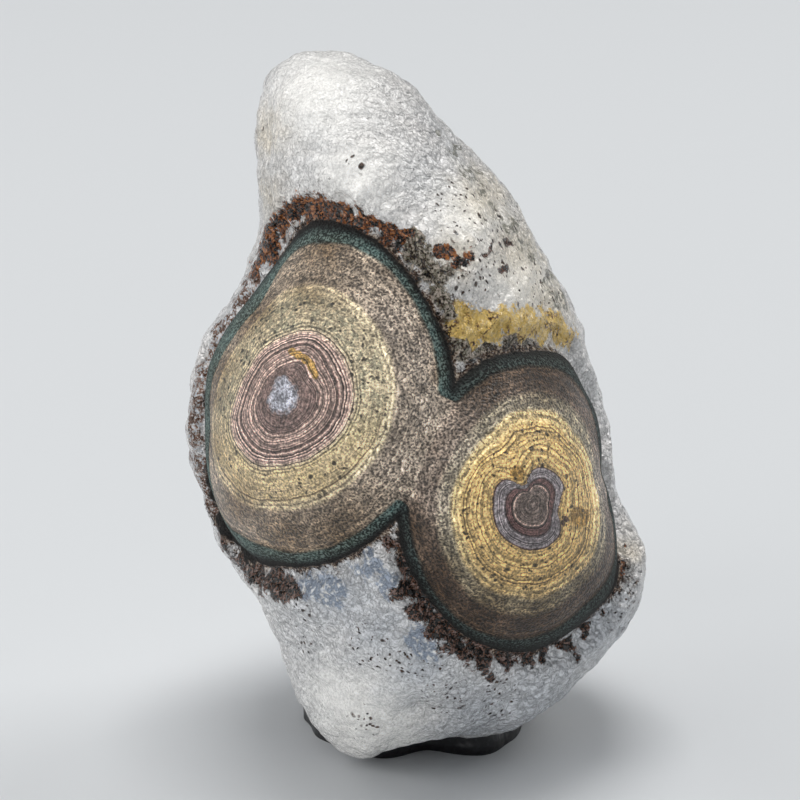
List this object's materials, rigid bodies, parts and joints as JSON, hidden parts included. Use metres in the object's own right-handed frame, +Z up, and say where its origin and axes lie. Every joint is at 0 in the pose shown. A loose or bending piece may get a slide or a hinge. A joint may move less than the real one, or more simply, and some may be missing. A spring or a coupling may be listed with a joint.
{
  "type": "eye agate on a putty pad",
  "caption": "Natural agate with banded eyes swelling through a white chalcedony crust, standing on a pressed pad of black putty.",
  "frame": {"origin": "middle of the object's box, on the surface that the putty pad stands on", "axes": "+Z up along the stone's long way, -Y out of the show face with the eyes, +X to the right as the show face is seen"},
  "size_m": [0.0298, 0.0375, 0.0461],
  "materials": {
    "agate": "Glossy, pimpled white chalcedony crust round banded eyes in taupe, cream, ochre and dark green",
    "putty": "Satin black putty, pressed by hand"
  },
  "bodies": {
    "root": {"agate": "agate", "putty_pad": "putty"}
  },
  "joints": []
}
